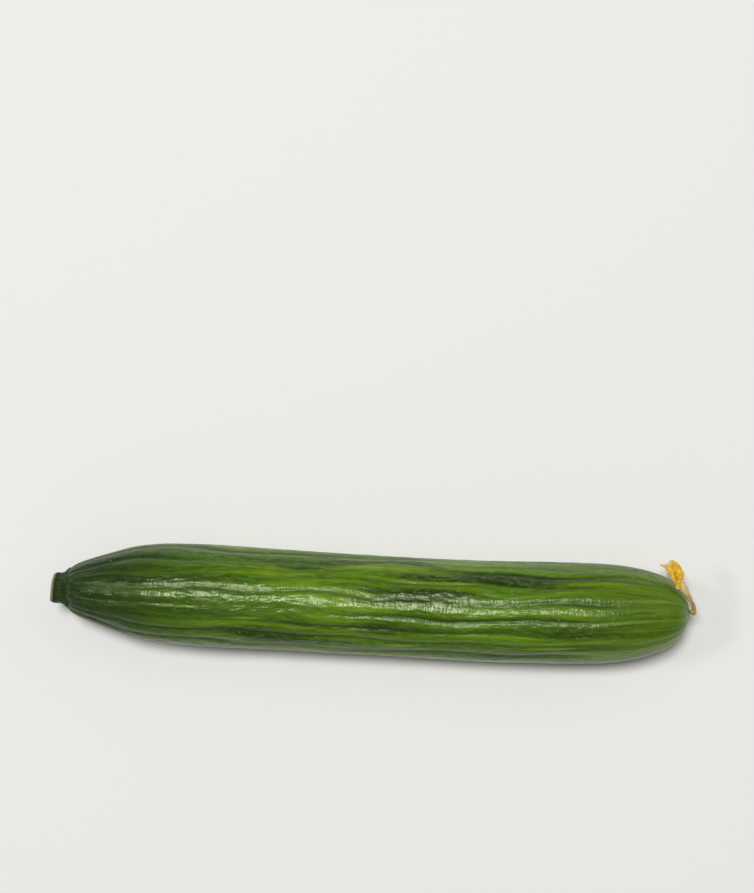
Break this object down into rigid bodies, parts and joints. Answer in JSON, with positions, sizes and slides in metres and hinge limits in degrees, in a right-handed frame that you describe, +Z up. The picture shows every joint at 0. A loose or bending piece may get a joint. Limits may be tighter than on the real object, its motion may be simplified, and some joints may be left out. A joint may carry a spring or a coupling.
{
  "type": "cucumber",
  "caption": "Small smooth-skinned cucumber lying on its side, with a slim neck and a cut stalk stub, shallow lengthwise ribs, and a withered yellow flower at the blossom end.",
  "frame": {"origin": "middle of the base of the whole part's bounding box, on the surface that it lies on", "axes": "+X along the fruit from the cut stalk to the blossom end, +Z up, +Y towards the side on which the withered flower hangs"},
  "size_m": [0.182, 0.0308, 0.029],
  "materials": {
    "rind": "waxy satin, dark green with wavering yellow-green streaks",
    "stalk": "matt green with a pale cut face",
    "dry_tube": "dry, matt tan",
    "dry_petal": "dry and papery, orange-yellow"
  },
  "bodies": {
    "root": {"fruit": "rind", "stem_stub": "stalk", "flower_tube": "dry_tube", "petals": "dry_petal"}
  },
  "joints": []
}
